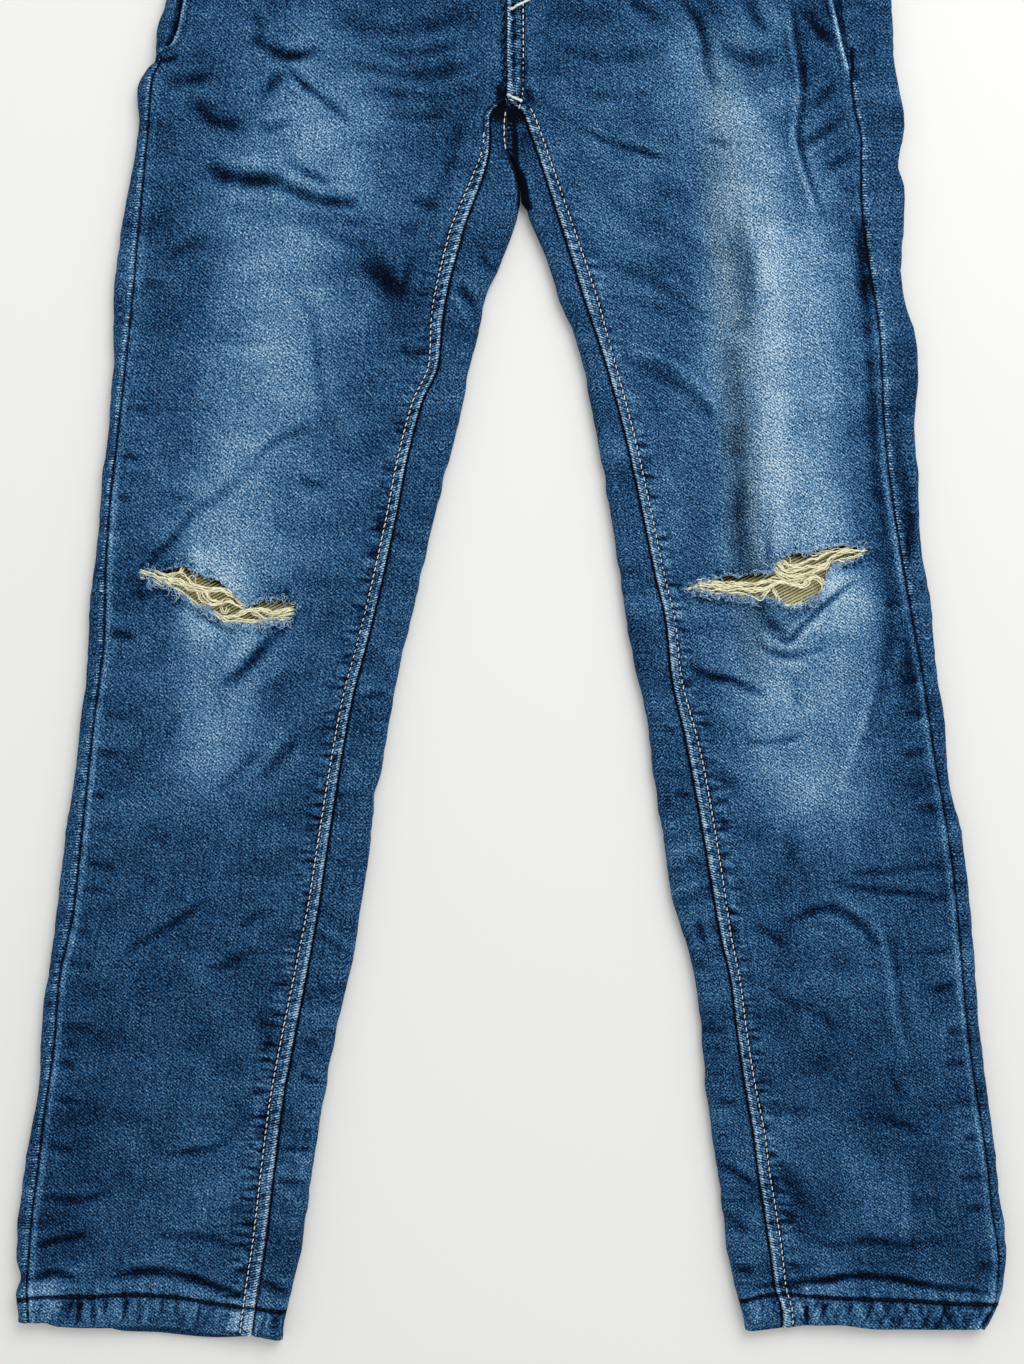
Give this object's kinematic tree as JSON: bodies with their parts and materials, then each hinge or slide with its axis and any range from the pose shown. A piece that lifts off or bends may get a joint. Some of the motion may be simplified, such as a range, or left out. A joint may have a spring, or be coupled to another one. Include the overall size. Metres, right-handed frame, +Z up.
{
  "type": "ripped jeans",
  "caption": "Child's tapered soft-denim jeans laid flat, front up, with ripped knees, turned-up hems, slant pockets and a lapped waistband with a button.",
  "frame": {"origin": "under the middle of the laid-out jeans' bounding box, on the surface they lie on", "axes": "+X towards the wearer's left leg, +Y towards the waist, +Z up, out of the front of the jeans"},
  "size_m": [0.4264, 0.725, 0.0133],
  "materials": {
    "faded_denim": "soft indigo denim, faded along the fronts of the legs, dark melange twill elsewhere",
    "dark_denim": "unfaded dark indigo melange twill",
    "rib_inside": "yellow-olive wrong side of the denim and its loose weft threads",
    "ecru_thread": "ecru topstitching thread",
    "navy_thread": "dark navy hem stitching thread",
    "button_metal": "aged metal shank button"
  },
  "bodies": {
    "root": {"front_right": "faded_denim", "front_left": "faded_denim", "back_right": "dark_denim", "back_left": "dark_denim", "pocket_facing_right": "dark_denim", "pocket_facing_left": "dark_denim", "waistband": "dark_denim", "waist_button": "button_metal"}
  },
  "joints": []
}
